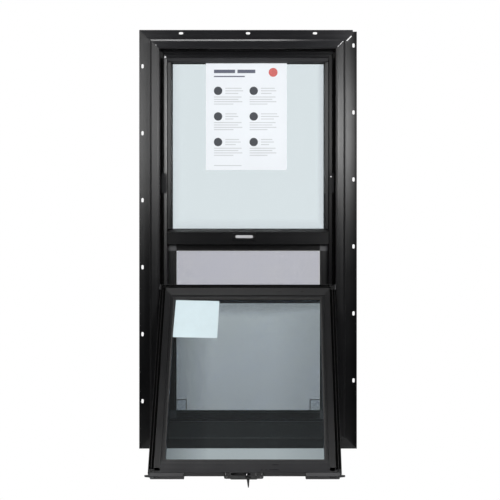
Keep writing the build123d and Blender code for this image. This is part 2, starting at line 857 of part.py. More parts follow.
with BuildPart() as balance_rods:
    with BuildSketch(Plane.XY.offset(pivot.Z + shoe_h / 2)):
        with Locations((-shoe_x, shoe_y), (shoe_x, shoe_y)):
            Circle(rod_r)
    extrude(amount=tube_above_shoe + rod_in_tube)
save(balance_rods.part, "balance_rods")

# Sash stops on the jamb strips
stop_h = 61.0
stop_above_rail = 148.0
stop_t = 6.0
stop_lip = 4.0
stop_lip_t = 2.0
stop_r = 5.0
stop_foot_w = 10.5
stop_screw_r = 2.6
stop_screw_up = 20.0
strip_x = half_w - face_w - groove_w
stop_plane = Plane(origin=(0, strip_y, rail_top_z + stop_above_rail), x_dir=(1, 0, 0), z_dir=(0, -1, 0))

with BuildPart() as jamb_stops:
    with BuildSketch(stop_plane):
        with Locations((stop_foot_w / 2 - strip_x, 0), (strip_x - stop_foot_w / 2, 0)):
            Rectangle(stop_foot_w, stop_h - 2 * stop_r)
    extrude(amount=stop_t - stop_lip_t)
    with BuildSketch(stop_plane.offset(stop_t - stop_lip_t)):
        for side in (-1, 1):
            with Locations((side * (strip_x + (stop_lip - stop_foot_w) / 2), 0)):
                RectangleRounded(stop_foot_w + stop_lip, stop_h, stop_r)
    extrude(amount=stop_lip_t)
    with BuildSketch(stop_plane.offset(stop_t)):
        for side in (-1, 1):
            with Locations((side * (strip_x - stop_foot_w / 2), stop_screw_up)):
                Circle(stop_screw_r)
    extrude(amount=-stop_lip_t / 2, mode=Mode.SUBTRACT)
save(jamb_stops.part, "jamb_stops")

# Pile weatherstrips in the jamb grooves
pile_w = 5.0
pile_h = 7.0
pile_gap = 2.0

with BuildPart() as jamb_weatherstrips:
    with BuildSketch(Plane.XY.offset(body_z + sill_dam_h + pile_gap)):
        for side in (-1, 1):
            with Locations((side * (half_w - face_w - groove_w / 2), groove_y - pile_h / 2)):
                Rectangle(pile_w, pile_h)
    extrude(amount=body_h - rebate_u - sill_dam_h - 2 * pile_gap)
save(jamb_weatherstrips.part, "jamb_weatherstrips")

# Insect screen: four hollow bars pushed over the tongues of square corner keys, with the mesh inside
screen_back_y = leg_y - tape_t
screen_y = screen_back_y - screen_bar_t
screen_x = rebate_x - screen_side_gap
screen_low_z = body_z + sill_floor_h
screen_high_z = body_z + screen_top
screen_h = screen_high_z - screen_low_z
screen_mid = (screen_low_z + screen_high_z) / 2
screen_plane = Plane(origin=(0, screen_back_y, screen_mid), x_dir=(1, 0, 0), z_dir=(0, -1, 0))
bar_span = 2 * (screen_x - screen_bar_w)
side_span = screen_h - 2 * screen_bar_w
tongue_margin = screen_wall + key_clear
tongue_w = spline_edge - screen_wall - 2 * tongue_margin
tongue_t = screen_bar_t - 2 * tongue_margin
tongue_edge = tongue_margin + tongue_w / 2


def screen_bar(origin, inward, length):
    """Hollow bar with a groove in its indoor face that holds the cord of the mesh."""
    groove_end = spline_edge + spline_w
    with BuildSketch(member_plane(origin, inward, outdoors)) as profile:
        hollow([(0, 0), (screen_bar_w, 0), (screen_bar_w, screen_bar_t), (0, screen_bar_t)], screen_wall)
        wall(spline_edge - screen_wall, 0, groove_end + screen_wall, spline_d + screen_wall)
        wall(spline_edge, 0, groove_end, spline_d, Mode.SUBTRACT)
    extrude(profile.sketch, amount=length)


with BuildPart() as screen_corner_keys:
    key_x = screen_x - screen_bar_w / 2
    key_z = screen_h / 2 - screen_bar_w / 2
    with BuildSketch(screen_plane):
        with Locations((-key_x, -key_z), (key_x, -key_z), (-key_x, key_z), (key_x, key_z)):
            Rectangle(screen_bar_w, screen_bar_w)
    extrude(amount=screen_bar_t)
    with BuildSketch(screen_plane.offset(tongue_margin)):
        for side in (-1, 1):
            for end in (-1, 1):
                with Locations((side * (bar_span - key_reach) / 2, end * (screen_h / 2 - tongue_edge))):
                    Rectangle(key_reach, tongue_w)
                with Locations((side * (screen_x - tongue_edge), end * (side_span - key_reach) / 2)):
                    Rectangle(tongue_w, key_reach)
    extrude(amount=tongue_t)
save(screen_corner_keys.part, "screen_corner_keys")

with BuildPart() as screen_bar_top:
    screen_bar(Vector(-bar_span / 2, screen_y, screen_high_z), -up, bar_span)
save(screen_bar_top.part, "screen_bar_top")

with BuildPart() as screen_bar_bottom:
    screen_bar(Vector(bar_span / 2, screen_y, screen_low_z), up, bar_span)
save(screen_bar_bottom.part, "screen_bar_bottom")

with BuildPart() as screen_bar_left:
    screen_bar(Vector(-screen_x, screen_y, screen_low_z + screen_bar_w), right, side_span)
save(screen_bar_left.part, "screen_bar_left")

with BuildPart() as screen_bar_right:
    screen_bar(Vector(screen_x, screen_y, screen_high_z - screen_bar_w), -right, side_span)
save(screen_bar_right.part, "screen_bar_right")

with BuildPart() as screen_mesh:
    with BuildSketch(screen_plane.offset(screen_bar_t / 2)):
        Rectangle(bar_span, side_span)
    extrude(amount=mesh_t)
save(screen_mesh.part, "screen_mesh")

with BuildPart() as screen_lift_tabs:
    with BuildSketch(screen_plane.offset(screen_bar_t / 2 + mesh_t)):
        for side in (-1, 1):
            with Locations((side * (bar_span - tab_w) / 2, (tab_h - side_span) / 2)):
                Rectangle(tab_w, tab_h)
    extrude(amount=tab_t)
save(screen_lift_tabs.part, "screen_lift_tabs")
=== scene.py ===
# %% [markdown]
# # A black single hung window with its lower sash tilted in
#
# The window is seen from indoors. Black powder coated aluminium bars are mitred round fixed glass
# at the top, and the lower sash hangs from its two pivots in front of the insect screen. The bars
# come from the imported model, so this lesson gives every surface its finish and adds the small
# things that are too fine for the solids: the woven screen, the screws, the print on the paper
# and the bristles of the weatherstrips.

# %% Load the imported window
import json
import math
import random

import bmesh
import bpy
from mathutils import Matrix, Vector


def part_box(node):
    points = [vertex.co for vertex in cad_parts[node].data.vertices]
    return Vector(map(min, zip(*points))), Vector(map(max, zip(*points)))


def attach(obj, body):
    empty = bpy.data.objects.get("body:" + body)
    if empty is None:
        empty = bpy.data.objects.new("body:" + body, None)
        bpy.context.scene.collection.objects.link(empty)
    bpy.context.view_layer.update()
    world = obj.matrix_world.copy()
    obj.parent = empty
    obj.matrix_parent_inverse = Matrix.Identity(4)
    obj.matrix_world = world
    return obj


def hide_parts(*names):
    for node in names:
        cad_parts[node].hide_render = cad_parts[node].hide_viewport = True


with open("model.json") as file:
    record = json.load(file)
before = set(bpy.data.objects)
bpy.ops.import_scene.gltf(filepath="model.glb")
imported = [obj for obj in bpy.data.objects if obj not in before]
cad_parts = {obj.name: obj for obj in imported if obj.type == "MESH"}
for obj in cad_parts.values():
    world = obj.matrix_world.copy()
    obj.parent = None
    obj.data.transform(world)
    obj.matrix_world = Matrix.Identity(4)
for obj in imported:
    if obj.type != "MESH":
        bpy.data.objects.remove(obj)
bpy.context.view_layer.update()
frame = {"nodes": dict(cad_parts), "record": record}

nodes = frame["nodes"]

# %% [markdown]
# ## Sizes
#
# Everything below is in metres, in the same frame as the solids: X across the window, Y pointing
# outdoors and Z up. A size could be typed twice, once here and once for the solids, but then the
# two could drift apart. So many places are read from the boxes of the solids. The tilt of the sash,
# the depth of the pivots, a few sizes and places of the sash, the frame and the screws, and the
# sizes of the new small things are values of their own.

# %% Read places from the solids
MM = 0.001
TILT = math.radians(32.9)
pivot_low, pivot_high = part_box("pivot_bars")
mesh_low, mesh_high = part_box("screen_mesh")
sheet_low, sheet_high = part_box("glass_sheet")
PIVOT = Vector((0, -34 * MM, (pivot_low.z + pivot_high.z) / 2))
print("pivots at", [round(v, 4) for v in PIVOT])

# %% [markdown]
# The sash has a frame of its own. Its second axis runs from the pivots to the lock rail and its
# third axis points to the indoor side of the sash, so a screw can be placed by its distance along
# the rail in the same way whether the sash is open or shut.

# %% The sash frame
SASH_HALF = 261 * MM
SASH_START = -10.4 * MM
SASH_END = 581 * MM
sash_down = Vector((0, -math.sin(TILT), -math.cos(TILT)))
sash_in = Vector((0, math.cos(TILT), -math.sin(TILT)))


def on_sash(x, along, inside):
    """World point on the sash: across, from the pivots to the lock rail, and indoors."""
    return PIVOT + Vector((x, 0, 0)) + sash_down * along + sash_in * inside


print("lock rail end:", [round(v, 3) for v in on_sash(0, SASH_END, 0)])

# %% [markdown]
# ## Finishes
#
# Most finishes here share two effects: a fine grain, and large soft patches where the surface is a
# little more or less glossy. Each could be drawn again in every material. A node group is shorter
# and keeps them alike, so both are built once, with inputs for their scale and strength.

# %% Small helpers for node trees
def new_group(name, inputs, outputs):
    """Makes a shader node group with float or colour sockets."""
    group = bpy.data.node_groups.new(name, "ShaderNodeTree")
    for title, kind, value in inputs:
        socket = group.interface.new_socket(title, in_out="INPUT", socket_type=kind)
        socket.default_value = value
    for title, kind in outputs:
        group.interface.new_socket(title, in_out="OUTPUT", socket_type=kind)
    start = group.nodes.new("NodeGroupInput")
    end = group.nodes.new("NodeGroupOutput")
    return group, start, end


def add(tree, kind, **values):
    """Adds one node and sets its plain properties."""
    node = tree.nodes.new(kind)
    for key, value in values.items():
        setattr(node, key, value)
    return node


def noise(tree, vector, scale, detail=3.0, rough=0.5):
    """Adds a noise texture on the given coordinates."""
    node = add(tree, "ShaderNodeTexNoise")
    node.inputs["Detail"].default_value = detail
    node.inputs["Roughness"].default_value = rough
    tree.links.new(vector, node.inputs["Vector"])
    if isinstance(scale, (int, float)):
        node.inputs["Scale"].default_value = scale
    else:
        tree.links.new(scale, node.inputs["Scale"])
    return node.outputs["Fac"]


print("group and node helpers ready")

# %% [markdown]
# A shader does its sums with nodes as well. The next two helpers take a socket or a plain number
# for each input, so a sum made of nodes reads almost like a line of Python.

# %% Sums in node trees
def math_node(tree, operation, a, b):
    """Adds a maths node whose inputs are sockets or numbers."""
    node = add(tree, "ShaderNodeMath", operation=operation)
    for socket, value in zip(node.inputs, (a, b)):
        if isinstance(value, (int, float)):
            socket.default_value = value
        else:
            tree.links.new(value, socket)
    return node.outputs[0]


def spread(tree, value, low, high, to_low, to_high):
    """Maps a value from one range to another."""
    node = add(tree, "ShaderNodeMapRange")
    for title, number in (("From Min", low), ("From Max", high), ("To Min", to_low), ("To Max", to_high)):
        if isinstance(number, (int, float)):
            node.inputs[title].default_value = number
        else:
            tree.links.new(number, node.inputs[title])
    tree.links.new(value, node.inputs["Value"])
    return node.outputs["Result"]


print("sum helpers ready")

# %% [markdown]
# Powder coat is plastic powder melted onto the metal. It never lies quite flat: under a lamp it
# shows a fine orange peel of about a millimetre, and wide patches where it cured a little glossier.
# The group puts out a grain height for the Bump node and a patch value for the roughness.

# %% The grain and patches group
FLOAT = "NodeSocketFloat"
grain_group, start, end = new_group(
    "grain_and_patches",
    [("Grain Scale", FLOAT, 700.0), ("Patch Scale", FLOAT, 9.0), ("Low", FLOAT, 0.3), ("High", FLOAT, 0.4)],
    [("Height", FLOAT), ("Patch", FLOAT), ("Roughness", FLOAT)],
)
place = add(grain_group, "ShaderNodeTexCoord").outputs["Object"]
grain = noise(grain_group, place, start.outputs["Grain Scale"], 2.0)
patch = noise(grain_group, place, start.outputs["Patch Scale"], 4.0, 0.6)
rough = spread(grain_group, patch, 0.3, 0.7, start.outputs["Low"], start.outputs["High"])
grain_group.links.new(grain, end.inputs["Height"])
grain_group.links.new(patch, end.inputs["Patch"])
grain_group.links.new(rough, end.inputs["Roughness"])
print("group:", grain_group.name)

# %% [markdown]
# Dust settles on faces that look up, and a little of it sticks anywhere. The mask could be painted
# by hand, but the normal of the surface already says which way it looks, so the dust group reads
# that and breaks it up with noise.

# %% The dust group
dust_group, start, end = new_group(
    "settled_dust", [("Amount", FLOAT, 0.2), ("Scale", FLOAT, 60.0)], [("Mask", FLOAT)]
)
place = add(dust_group, "ShaderNodeTexCoord").outputs["Object"]
facing = add(dust_group, "ShaderNodeNewGeometry")
split_normal = add(dust_group, "ShaderNodeSeparateXYZ")
dust_group.links.new(facing.outputs["Normal"], split_normal.inputs[0])
upward = spread(dust_group, split_normal.outputs["Z"], 0.1, 1.0, 0.12, 1.0)
specks = spread(dust_group, noise(dust_group, place, start.outputs["Scale"], 6.0, 0.7), 0.45, 0.75, 0.0, 1.0)
amount = math_node(dust_group, "MULTIPLY", upward, start.outputs["Amount"])
mask = math_node(dust_group, "MULTIPLY", specks, amount)
dust_group.links.new(mask, end.inputs["Mask"])
print("group:", dust_group.name)

# %% [markdown]
# The die that an aluminium bar is pressed through leaves fine lines along the whole bar, and the
# coat doesn't quite hide them. They depend on one number only, how far across the bar a point lies,
# so the group takes that direction and runs a noise of one dimension over it.

# %% The die lines group
VECTOR = "NodeSocketVector"
line_group, start, end = new_group(
    "die_lines", [("Across", VECTOR, (1, 0, 0)), ("Scale", FLOAT, 130.0)], [("Lines", FLOAT)]
)
place = add(line_group, "ShaderNodeTexCoord").outputs["Object"]
distance = add(line_group, "ShaderNodeVectorMath", operation="DOT_PRODUCT")
line_group.links.new(place, distance.inputs[0])
line_group.links.new(start.outputs["Across"], distance.inputs[1])
drawn = add(line_group, "ShaderNodeTexNoise", noise_dimensions="1D")
drawn.inputs["Detail"].default_value = 5.0
line_group.links.new(distance.outputs["Value"], drawn.inputs["W"])
line_group.links.new(start.outputs["Scale"], drawn.inputs["Scale"])
line_group.links.new(drawn.outputs["Fac"], end.inputs["Lines"])
print("group:", line_group.name)

# %% [markdown]
# Every finish gets its colour and its relief in the same way, so each of these is a step of its
# own. The colour is a little lighter and darker in patches, with the dust over it, and the relief
# is a Bump node that reads a height.

# %% Colour and relief
DUST_COLOR = (0.35, 0.34, 0.32)


def dusty_colour(tree, color, variation, patch, dust):
    """The colour, uneven by the patches, under settled dust."""
    tone = add(tree, "ShaderNodeMix", data_type="RGBA", blend_type="MULTIPLY")
    tone.inputs["Factor"].default_value = 1.0
    tone.inputs["A"].default_value = (*color, 1)
    shade = spread(tree, patch, 0.3, 0.7, 1.0 - variation, 1.0 + variation)
    tree.links.new(shade, tone.inputs["B"])
    dirt = add(tree, "ShaderNodeGroup", node_tree=dust_group)
    dirt.inputs["Amount"].default_value = dust
    cover = add(tree, "ShaderNodeMix", data_type="RGBA")
    cover.inputs["B"].default_value = (*DUST_COLOR, 1)
    tree.links.new(dirt.outputs["Mask"], cover.inputs["Factor"])
    tree.links.new(tone.outputs["Result"], cover.inputs["A"])
    return cover.outputs["Result"]


def relief_node(tree, height, strength, depth):
    """A Bump node on a height."""
    relief = add(tree, "ShaderNodeBump")
    relief.inputs["Strength"].default_value = strength
    relief.inputs["Distance"].default_value = depth
    tree.links.new(height, relief.inputs["Height"])
    return relief


print("dust colour:", DUST_COLOR)

# %% [markdown]
# The die lines also stretch the gloss. A lamp over a bar smears square to its lines, which is why
# a level bar can look dark where the upright one beside it, in the same light, looks bright. The
# shader does that with Anisotropic and a tangent. The tangent could come from a UV map, but the
# direction across each bar is already known, so it is one constant vector.

# %% Die lines on a bar
LINE_DEPTH = 1.5 * MM
LINE_STRENGTH = 0.06
LINE_STEP = 0.03


def draw_die_lines(tree, across, pull):
    """Stretches the gloss over the lines, and returns their step in roughness and their normal."""
    shader = tree.nodes["Principled BSDF"]
    shader.inputs["Anisotropic"].default_value = pull
    direction = add(tree, "ShaderNodeCombineXYZ")
    for socket, value in zip(direction.inputs, across):
        socket.default_value = value
    tree.links.new(direction.outputs[0], shader.inputs["Tangent"])
    drawn = add(tree, "ShaderNodeGroup", node_tree=line_group)
    tree.links.new(direction.outputs[0], drawn.inputs["Across"])
    step = spread(tree, drawn.outputs["Lines"], 0.3, 0.7, -LINE_STEP, LINE_STEP)
    ridges = relief_node(tree, drawn.outputs["Lines"], LINE_STRENGTH, LINE_DEPTH)
    return step, ridges.outputs["Normal"]


print("die lines step the roughness by", LINE_STEP)

# %% [markdown]
# With those steps a finish is a Principled shader, the grain group on its roughness and relief,
# and the dusty colour. Each finish names its own colour and numbers. Values that are the same all
# over are set on the shader itself, because a value that reaches it through a node can get lost
# when the window goes to another program.

# %% Make one finish
GRAIN_DEPTH = 0.2 * MM
COAT_COLOR = (0.0038, 0.0038, 0.0043)


def finish_material(name, color, low, high, grain=700.0, patch=9.0, bump=0.05, dust=0.1, metallic=0.0,
                    variation=0.12, gloss=0.5, across=None, pull=0.75):
    """Principled finish with grain, soft patches, settled dust and, on a bar, die lines."""
    material = bpy.data.materials.new(name)
    material.use_nodes = True
    tree = material.node_tree
    shader = tree.nodes["Principled BSDF"]
    shader.inputs["Metallic"].default_value = metallic
    shader.inputs["Specular IOR Level"].default_value = gloss
    body = add(tree, "ShaderNodeGroup", node_tree=grain_group)
    for title, value in (("Grain Scale", grain), ("Patch Scale", patch), ("Low", low), ("High", high)):
        body.inputs[title].default_value = value
    colour = dusty_colour(tree, color, variation, body.outputs["Patch"], dust)
    tree.links.new(colour, shader.inputs["Base Color"])
    relief = relief_node(tree, body.outputs["Height"], bump, GRAIN_DEPTH)
    tree.links.new(relief.outputs["Normal"], shader.inputs["Normal"])
    roughness = body.outputs["Roughness"]
    if across is not None:
        step, ridged = draw_die_lines(tree, across, pull)
        tree.links.new(ridged, relief.inputs["Normal"])
        roughness = math_node(tree, "ADD", roughness, step)
    tree.links.new(roughness, shader.inputs["Roughness"])
    return material


def black_coat(name, across=None, pull=0.75, color=COAT_COLOR):
    """Black coat on a bar whose die lines run square to the given direction."""
    return finish_material(name, color, 0.29, 0.35, dust=0.01, across=across, pull=pull)


print("coat colour:", COAT_COLOR)

# %% [markdown]
# The plain finishes are kept under the names of the slots in the record. Each could be tuned by
# eye alone, but most start from the real thing: zinc and drawn aluminium are metals with a broad
# gloss, rubber and nylon are dark and dull, and pile hardly shines at all.

# %% The plain finishes
FINE_GRAIN = 1500.0
WIRE_GRAIN = 2500.0
finishes = {
    "black_coat": black_coat("black_powder_coat"),
    "bright_steel": finish_material("dull_zinc_plate", (0.30, 0.30, 0.31), 0.35, 0.5, metallic=1.0),
    "mill_aluminium": finish_material("drawn_tube", (0.70, 0.70, 0.71), 0.3, 0.45, 1800.0, metallic=1.0),
    "spacer_metal": finish_material("spacer_bar", (0.085, 0.095, 0.115), 0.4, 0.55, metallic=0.2),
    "black_rubber": finish_material("glazing_rubber", (0.012, 0.012, 0.012), 0.55, 0.75, dust=0.08),
    "black_plastic": finish_material("moulded_nylon", (0.02, 0.02, 0.022), 0.38, 0.5, FINE_GRAIN, dust=0.05),
    "grey_plastic": finish_material("corner_key_plastic", (0.07, 0.07, 0.075), 0.4, 0.55, FINE_GRAIN),
    "black_pile": finish_material("pile_fibre", (0.0015, 0.0015, 0.0015), 0.85, 0.95, WIRE_GRAIN, bump=0.4,
                                  dust=0.004, gloss=0.08),
    "grey_mesh": finish_material("screen_wire", (0.010, 0.020, 0.115), 0.55, 0.7, WIRE_GRAIN, dust=0.0),
    "white_paper": finish_material("white_paper", (0.75, 0.78, 0.815), 0.75, 0.9, FINE_GRAIN, bump=0.03,
                                   variation=0.02),
    "pale_label": finish_material("sticker_paper", (0.54, 0.645, 0.68), 0.45, 0.6, 900.0, variation=0.04),
}
print("finishes:", len(finishes))

# %% [markdown]
# ## Glass
#
# Float glass looks clear face on and green through its edge. Each pane here is a real slab, so the
# Principled shader with full transmission bends and reflects light at both faces by itself. Only a
# faint tint and a few wiped smears, which change the roughness a little, are added. Both panes also
# get painted shade near some of their edges, a darker tint that stands in for soft shadow there, so
# each has a group of its own with a ramp for each of those edges.

# %% The painted edge shade groups
def edge_shade_ramps(name, ramps):
    """A group whose mask of painted shade falls from a strength at an edge to nothing further in, for each
    ramp.
    """
    group, start, end = new_group(name, [], [("Mask", FLOAT)])
    axes = add(group, "ShaderNodeSeparateXYZ")
    group.links.new(add(group, "ShaderNodeTexCoord").outputs["Object"], axes.inputs[0])
    mask = 0.0
    for axis, edge, clear, strength in ramps:
        ramp = spread(group, axes.outputs[axis], edge, clear, strength, 0.0)
        mask = math_node(group, "MAXIMUM", mask, ramp)
    group.links.new(mask, end.inputs["Mask"])
    return group


# Ramps of painted shade: each darkens a pane from one edge inwards, standing in for soft shadow.
sash_ramps = [
    ("X", -215 * MM, -100 * MM, 1.0),
    ("X", 200 * MM, 80 * MM, 0.35),
    ("Z", 415 * MM, 385 * MM, 0.6),
]
upper_ramps = [
    ("X", -235 * MM, -205 * MM, 0.5),
    ("X", 235 * MM, 210 * MM, 1.0),
    ("Z", 640 * MM, 680 * MM, 0.6),
]
sash_painted_shade = edge_shade_ramps("sash_painted_shade", sash_ramps)
upper_painted_shade = edge_shade_ramps("upper_painted_shade", upper_ramps)
print("groups:", sash_painted_shade.name, upper_painted_shade.name)

# %% [markdown]
# The lift tabs of the screen are clear plastic, so the same function makes them, only rougher.

# %% Pane glass and clear plastic
SMEARS = 14.0


def clear_material(name, tint, low, high, smear_scale, shade_group=None, shade_tint=None):
    """Transmissive slab with faint smears and, if asked, a darker tint painted as shade near its edges."""
    material = bpy.data.materials.new(name)
    material.use_nodes = True
    tree = material.node_tree
    shader = tree.nodes["Principled BSDF"]
    shader.inputs["Base Color"].default_value = (*tint, 1)
    shader.inputs["Transmission Weight"].default_value = 1.0
    shader.inputs["IOR"].default_value = 1.45
    body = add(tree, "ShaderNodeGroup", node_tree=grain_group)
    body.inputs["Patch Scale"].default_value = smear_scale
    body.inputs["Low"].default_value = low
    body.inputs["High"].default_value = high
    tree.links.new(body.outputs["Roughness"], shader.inputs["Roughness"])
    if shade_group is not None:
        # The second tint is painted shade, laid on near the edges by the mask.
        painted_shade = add(tree, "ShaderNodeGroup", node_tree=shade_group)
        blend = add(tree, "ShaderNodeMix", data_type="RGBA")
        blend.inputs["A"].default_value = (*tint, 1)
        blend.inputs["B"].default_value = (*shade_tint, 1)
        tree.links.new(painted_shade.outputs["Mask"], blend.inputs["Factor"])
        tree.links.new(blend.outputs["Result"], shader.inputs["Base Color"])
    return material


# Each pane's second tint is painted shade near its edges.
upper_glass = clear_material("upper_float_glass", (0.885, 0.93, 0.945), 0.0, 0.012, SMEARS, upper_painted_shade,
                             (0.77, 0.805, 0.83))
sash_glass = clear_material("sash_float_glass", (0.885, 0.945, 0.965), 0.0, 0.012, SMEARS, sash_painted_shade,
                            (0.62, 0.67, 0.69))
finishes["clear_tab"] = clear_material("tab_plastic", (0.86, 0.89, 0.92), 0.12, 0.25, 60.0)
print("glass tints set")

# %% [markdown]
# ## Dress the solids
#
# The coat isn't equally glossy all over a jamb. The web beside the left of the pane shines, and the
# web on the right and the outer edge of the right fin are dull. The gloss could be painted, but it
# changes only from left to right, so ramps along X are enough. Another program may drop the ramps,
# and there both jambs have the plain gloss all over.

# %% Gloss that changes across a jamb
PLAIN_GLOSS = 0.5


def uneven_gloss(material, places):
    """Steps the gloss of an upright bar, from nothing at one place across it to all at another."""
    tree = material.node_tree
    axes = add(tree, "ShaderNodeSeparateXYZ")
    tree.links.new(add(tree, "ShaderNodeTexCoord").outputs["Object"], axes.inputs[0])
    gloss = PLAIN_GLOSS
    for first, last, step in places:
        change = spread(tree, axes.outputs["X"], first, last, 0.0, step)
        gloss = math_node(tree, "ADD", change, gloss)
    tree.links.new(gloss, tree.nodes["Principled BSDF"].inputs["Specular IOR Level"])
    return material


shiny_web = (-257 * MM, -252 * MM, 0.5)
dull_web = (257 * MM, 252 * MM, -0.33)
dull_fin_edge = (304 * MM, 328 * MM, -0.42)
print("plain gloss:", PLAIN_GLOSS)

# %% [markdown]
# The record says which slot each solid takes its finish from, so a dictionary from slot to material
# would do the whole window in one loop. But a bar needs a coat that knows which way its lines run,
# so the bars are told apart by name first. The lock rail, the head and its bead also get a little
# greyer coat than the rest, as painted light for the reflected light that they catch.

# %% Coats by the direction of each bar
UPRIGHT = (1, 0.3, 0)
LEVEL = (0, 0.3, 1)
LEVEL_PULL = 0.9
rail_across = sash_down + 0.3 * sash_in
stile_across = Vector((1, 0, 0)) + 0.3 * sash_in
level_bars = ["frame_sill", "meeting_rail", "upper_bead_rail", "screen_bar_top", "screen_bar_bottom",
              "lock_keeper"]
upright_bars = ["upper_bead_left", "upper_bead_right", "screen_bar_left", "screen_bar_right"]
special = dict.fromkeys(level_bars, black_coat("level_bar_coat", LEVEL, LEVEL_PULL))
special.update(dict.fromkeys(upright_bars, black_coat("upright_bar_coat", UPRIGHT)))
stile_coat = black_coat("sash_stile_coat", stile_across)
special.update(sash_stile_left=stile_coat, sash_stile_right=stile_coat)
special["frame_jamb_left"] = uneven_gloss(black_coat("left_jamb_coat", UPRIGHT), [shiny_web])
special["frame_jamb_right"] = uneven_gloss(black_coat("right_jamb_coat", UPRIGHT), [dull_web, dull_fin_edge])
special["sash_bottom_rail"] = black_coat("sash_rail_coat", rail_across, LEVEL_PULL)
# The lighter coat colours here are painted light, lit copies of the same black coat.
special["sash_top_rail"] = black_coat("lock_rail_painted_light_coat", rail_across, LEVEL_PULL, (0.016, 0.016, 0.0175))
special["frame_head"] = black_coat("head_painted_light_coat", LEVEL, LEVEL_PULL, (0.009, 0.009, 0.0105))
special["upper_bead_head"] = black_coat("head_bead_painted_light_coat", LEVEL, LEVEL_PULL, (0.032, 0.032, 0.035))
print("coats for", len(special), "bars")

# %% [markdown]
# The panes, the stops, the pivot bars, the cam and the strike have finishes of their own. All other
# solids take the plain finish of their slot.

# %% Give every solid its finish
special.update(upper_pane_inner=upper_glass, upper_pane_outer=upper_glass)
special.update(sash_pane_inner=sash_glass, sash_pane_outer=sash_glass)
special["jamb_stops"] = finish_material("dark_stops", (0.005, 0.005, 0.006), 0.5, 0.65, dust=0.0, gloss=0.3)
special["pivot_bars"] = finish_material("worn_pivot_steel", (0.12, 0.12, 0.125), 0.4, 0.55, metallic=1.0)
special["sash_lock_cam"] = finish_material("dark_cam", (0.006, 0.006, 0.0065), 0.6, 0.7, dust=0.0, gloss=0.2)
special["keeper_strike"] = finish_material("polished_strike", (0.42, 0.42, 0.43), 0.45, 0.6, metallic=0.4)
slot_of = {row["node"]: row["material_slot"] for row in frame["record"]["subparts"]}
for name, solid in nodes.items():
    material = special[name] if name in special else finishes[slot_of[name]]
    solid.data.materials.clear()
    solid.data.materials.append(material)
print("dressed", len(nodes), "solids")

# %% [markdown]
# ## Making new pieces
#
# Each new piece is a bmesh that becomes one object at the origin, unturned and unscaled, with its
# place in its mesh. The helper also says which body carries it, because a piece that rides on
# nothing would be left behind.

# %% Turn a bmesh into a piece
def piece(name, bm, material):
    """Makes one riding object from a bmesh."""
    bmesh.ops.recalc_face_normals(bm, faces=bm.faces)
    mesh = bpy.data.meshes.new(name)
    bm.to_mesh(mesh)
    bm.free()
    mesh.materials.append(material)
    thing = bpy.data.objects.new(name, mesh)
    bpy.context.scene.collection.objects.link(thing)
    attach(thing, "root")
    return thing


def slab(bm, low, high):
    """Adds one box between two corners and returns its corners."""
    low, high = Vector(low), Vector(high)
    size = high - low
    matrix = Matrix.Translation((low + high) / 2) @ Matrix.Diagonal((*size, 1))
    return bmesh.ops.create_cube(bm, size=1.0, matrix=matrix)["verts"]


print("piece helper ready")

# %% [markdown]
# Two things here are one small shape over and over: the strands of the screen and the blades of
# the pile. They could be copied in a loop, but an Array modifier keeps the mesh short and its
# number easy to change.

# %% Repeat a piece along a line
def repeat(thing, step, count):
    """Repeats a piece a number of times, each one step further on."""
    row = thing.modifiers.new("row", "ARRAY")
    row.use_relative_offset = False
    row.use_constant_offset = True
    row.constant_offset_displace = step
    row.count = count
    return thing


print("repeat helper ready")

# %% [markdown]
# ## Insect screen
#
# Screen cloth is woven from coated fibre, about eighteen strands to the inch. It could be a plane
# with a see-through pattern, but then its mesh would be a blank sheet in any other program. Here
# the strands are real: one upright strand and one cross strand, each repeated by the helper.

# %% Weave the screen
STRAND = 0.47 * MM
PITCH = 1.41 * MM
STRAND_DEPTH = STRAND * 0.6


def strands(name, low, high, step, count):
    """One straight strand, repeated side by side."""
    bm = bmesh.new()
    slab(bm, low, high)
    return repeat(piece(name, bm, finishes["grey_mesh"]), step, count)


mesh_mid = (mesh_low.y + mesh_high.y) / 2
upright_count = int((mesh_high.x - mesh_low.x) / PITCH)
cross_count = int((mesh_high.z - mesh_low.z) / PITCH)
upright = strands(
    "screen_upright_strands",
    (mesh_low.x + PITCH / 2, mesh_mid - STRAND_DEPTH, mesh_low.z),
    (mesh_low.x + PITCH / 2 + STRAND, mesh_mid, mesh_high.z),
    (PITCH, 0, 0),
    upright_count,
)
strands(
    "screen_cross_strands",
    (mesh_low.x, mesh_mid, mesh_low.z + PITCH / 2),
    (mesh_high.x, mesh_mid + STRAND_DEPTH, mesh_low.z + PITCH / 2 + STRAND),
    (0, 0, PITCH),
    cross_count,
)
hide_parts("screen_mesh")
print("strands:", upright_count, cross_count)

# %% [markdown]
# ## Print on the paper
#
# The sheet on the upper glass carries print: a heading of dark bars, six dark discs, a red disc
# and lines of grey. They could be an image on the paper, but then they would be lost in any program
# that drops the image. Thin raised slabs are there in the mesh as well.

# %% Slabs and discs of ink
INK = 0.05 * MM
sheet_w = sheet_high.x - sheet_low.x
sheet_h = sheet_high.z - sheet_low.z


def ink_marks(name, color, marks):
    """Thin slabs on the paper, each by its left, top, width and height as shares of the sheet."""
    bm = bmesh.new()
    for left, top, width, height in marks:
        x = sheet_low.x + left * sheet_w
        z = sheet_high.z - top * sheet_h
        slab(bm, (x, sheet_low.y - INK, z - height * sheet_h), (x + width * sheet_w, sheet_low.y, z))
    ink = finish_material(name + "_ink", color, 0.6, 0.8, variation=0.05, dust=0.0)
    return piece(name, bm, ink)


